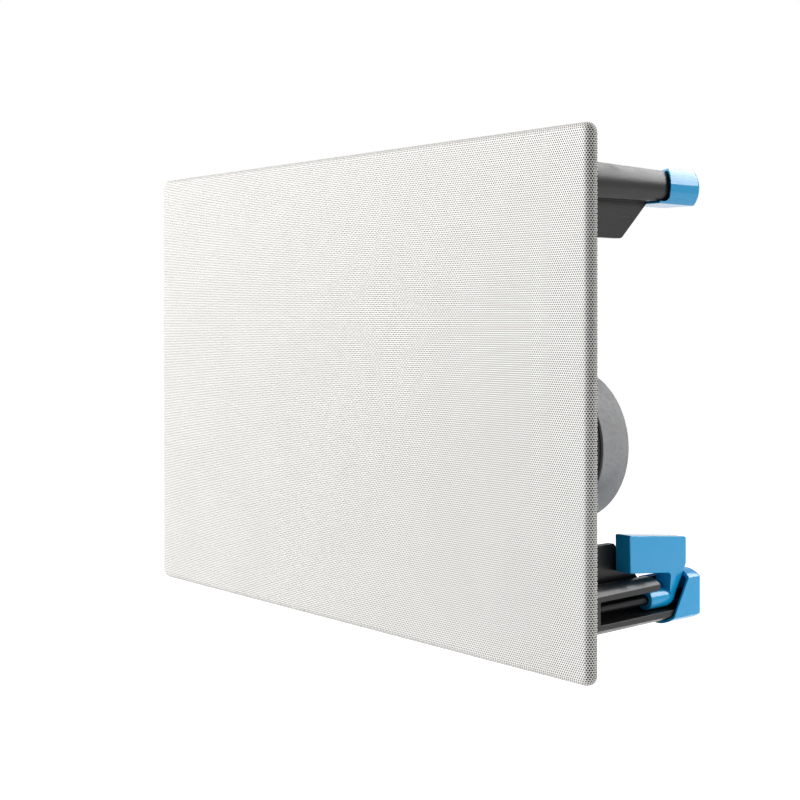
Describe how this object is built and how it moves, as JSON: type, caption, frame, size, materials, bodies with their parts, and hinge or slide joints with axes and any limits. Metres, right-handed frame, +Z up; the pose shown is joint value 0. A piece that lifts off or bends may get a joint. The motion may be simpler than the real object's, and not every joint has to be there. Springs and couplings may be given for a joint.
{
  "type": "in-wall speaker",
  "caption": "Flush in-wall loudspeaker with a perforated metal grille, black moulded frame, woofers with ring magnets, a dome tweeter and blue swing-out dog-leg clamps.",
  "frame": {"origin": "middle of the panel, in the plane of the wall's face that the flange rests on", "axes": "+X right as seen from the room, along the panel's long side; +Y into the wall; +Z up"},
  "size_m": [0.311, 0.0851, 0.216],
  "materials": {
    "grille_paint": "satin white paint on perforated steel",
    "scrim_cloth": "thin matte cloth",
    "plated_steel": "plated",
    "frame_plastic": "satin moulded black",
    "clamp_plastic": "glossy moulded blue",
    "basket_steel": "black paint",
    "pole_steel": "passivated",
    "ferrite": "matte ground",
    "coil_former": "wound wire on a former",
    "cone_plastic": "matte",
    "surround_rubber": "matte",
    "spider_cloth": "varnished cloth",
    "lug_brass": "tinned",
    "faceplate_plastic": "satin",
    "dome_cloth": "coated cloth",
    "board_laminate": "solder mask",
    "winding_copper": "enamelled copper",
    "capacitor_film": "wrapped film",
    "resistor_ceramic": "matte",
    "button_red": "glossy",
    "button_black": "glossy",
    "spring_steel": "bright",
    "wire_red": "insulated",
    "wire_black": "insulated"
  },
  "bodies": {
    "frame": {"grille_magnets": "plated_steel", "woofer_screws": "plated_steel", "tweeter_screws": "plated_steel", "board_screws": "plated_steel", "baffle_frame": "frame_plastic", "clamp_cap_lower_right": "clamp_plastic", "clamp_cap_upper_right": "clamp_plastic", "clamp_cap_upper_left": "clamp_plastic", "clamp_cap_lower_left": "clamp_plastic", "woofer_basket_right": "basket_steel", "woofer_basket_left": "basket_steel", "woofer_top_plate_right": "pole_steel", "woofer_top_plate_left": "pole_steel", "woofer_yoke_right": "pole_steel", "woofer_yoke_left": "pole_steel", "tweeter_top_plate": "pole_steel", "tweeter_yoke": "pole_steel", "woofer_magnet_right": "ferrite", "woofer_magnet_left": "ferrite", "tweeter_magnet": "ferrite", "tweeter_voice_coil": "coil_former", "woofer_surround_right": "surround_rubber", "woofer_surround_left": "surround_rubber", "woofer_spider_right": "spider_cloth", "woofer_spider_left": "spider_cloth", "woofer_terminals_right": "lug_brass", "woofer_terminals_left": "lug_brass", "tweeter_terminals": "lug_brass", "tweeter_faceplate": "faceplate_plastic", "tweeter_rear_chamber": "faceplate_plastic", "terminal_block": "faceplate_plastic", "tweeter_dome": "dome_cloth", "crossover_board": "board_laminate", "inductor_large": "winding_copper", "inductor_small": "winding_copper", "capacitor_large": "capacitor_film", "capacitor_small": "capacitor_film", "resistor": "resistor_ceramic", "terminal_springs": "spring_steel", "wires_red": "wire_red", "wires_black": "wire_black"},
    "grille_panel": {"grille": "grille_paint", "grille_scrim": "scrim_cloth"},
    "clamp_screw_lower_right": {"clamp_screw_lower_right": "plated_steel"},
    "clamp_dogleg_lower_right": {"clamp_dogleg_lower_right": "clamp_plastic"},
    "clamp_screw_upper_right": {"clamp_screw_upper_right": "plated_steel"},
    "clamp_dogleg_upper_right": {"clamp_dogleg_upper_right": "clamp_plastic"},
    "clamp_screw_upper_left": {"clamp_screw_upper_left": "plated_steel"},
    "clamp_dogleg_upper_left": {"clamp_dogleg_upper_left": "clamp_plastic"},
    "clamp_screw_lower_left": {"clamp_screw_lower_left": "plated_steel"},
    "clamp_dogleg_lower_left": {"clamp_dogleg_lower_left": "clamp_plastic"},
    "woofer_cone_right": {"woofer_cone_right": "cone_plastic", "woofer_dust_cap_right": "cone_plastic", "woofer_voice_coil_right": "coil_former"},
    "woofer_cone_left": {"woofer_cone_left": "cone_plastic", "woofer_dust_cap_left": "cone_plastic", "woofer_voice_coil_left": "coil_former"},
    "terminal_button_red": {"terminal_button_red": "button_red"},
    "terminal_button_black": {"terminal_button_black": "button_black"}
  },
  "joints": [
    {"name": "grille_pull", "type": "slide", "parent": "frame", "child": "grille_panel", "axis": [0, -1, 0], "range_m": [0, 0.06]},
    {"name": "clamp_turn_lower_right", "type": "hinge", "parent": "frame", "child": "clamp_screw_lower_right", "pos_m": [0.1355, 0, -0.0842], "axis": [0, 1, 0], "range_deg": [0, 90]},
    {"name": "clamp_draw_lower_right", "type": "slide", "parent": "clamp_screw_lower_right", "child": "clamp_dogleg_lower_right", "axis": [0, -1, 0], "range_m": [0, 0.0091]},
    {"name": "clamp_turn_upper_right", "type": "hinge", "parent": "frame", "child": "clamp_screw_upper_right", "pos_m": [0.1317, 0, 0.088], "axis": [0, 1, 0], "range_deg": [0, 90]},
    {"name": "clamp_draw_upper_right", "type": "slide", "parent": "clamp_screw_upper_right", "child": "clamp_dogleg_upper_right", "axis": [0, -1, 0], "range_m": [0, 0.0091]},
    {"name": "clamp_turn_upper_left", "type": "hinge", "parent": "frame", "child": "clamp_screw_upper_left", "pos_m": [-0.1355, 0, 0.0842], "axis": [0, 1, 0], "range_deg": [0, 90]},
    {"name": "clamp_draw_upper_left", "type": "slide", "parent": "clamp_screw_upper_left", "child": "clamp_dogleg_upper_left", "axis": [0, -1, 0], "range_m": [0, 0.0091]},
    {"name": "clamp_turn_lower_left", "type": "hinge", "parent": "frame", "child": "clamp_screw_lower_left", "pos_m": [-0.1317, 0, -0.088], "axis": [0, 1, 0], "range_deg": [0, 90]},
    {"name": "clamp_draw_lower_left", "type": "slide", "parent": "clamp_screw_lower_left", "child": "clamp_dogleg_lower_left", "axis": [0, -1, 0], "range_m": [0, 0.0091]},
    {"name": "woofer_excursion_right", "type": "slide", "parent": "frame", "child": "woofer_cone_right", "axis": [0, -1, 0], "range_m": [-0.0035, 0.0035], "stiffness_N_per_m": 1100, "deforming": ["woofer_surround_right", "woofer_spider_right"]},
    {"name": "woofer_excursion_left", "type": "slide", "parent": "frame", "child": "woofer_cone_left", "axis": [0, -1, 0], "range_m": [-0.0035, 0.0035], "stiffness_N_per_m": 1100, "deforming": ["woofer_surround_left", "woofer_spider_left"]},
    {"name": "terminal_press_red", "type": "slide", "parent": "frame", "child": "terminal_button_red", "axis": [0, -1, 0], "range_m": [0, 0.003], "stiffness_N_per_m": 800, "deforming": ["terminal_springs"]},
    {"name": "terminal_press_black", "type": "slide", "parent": "frame", "child": "terminal_button_black", "axis": [0, -1, 0], "range_m": [0, 0.003], "stiffness_N_per_m": 800, "deforming": ["terminal_springs"]}
  ],
  "couplings": [
    {"joint": "clamp_draw_lower_right", "follows": "clamp_turn_lower_right", "m_per_rad": 0.0057},
    {"joint": "clamp_draw_upper_right", "follows": "clamp_turn_upper_right", "m_per_rad": 0.0057},
    {"joint": "clamp_draw_upper_left", "follows": "clamp_turn_upper_left", "m_per_rad": 0.0057},
    {"joint": "clamp_draw_lower_left", "follows": "clamp_turn_lower_left", "m_per_rad": 0.0057}
  ]
}
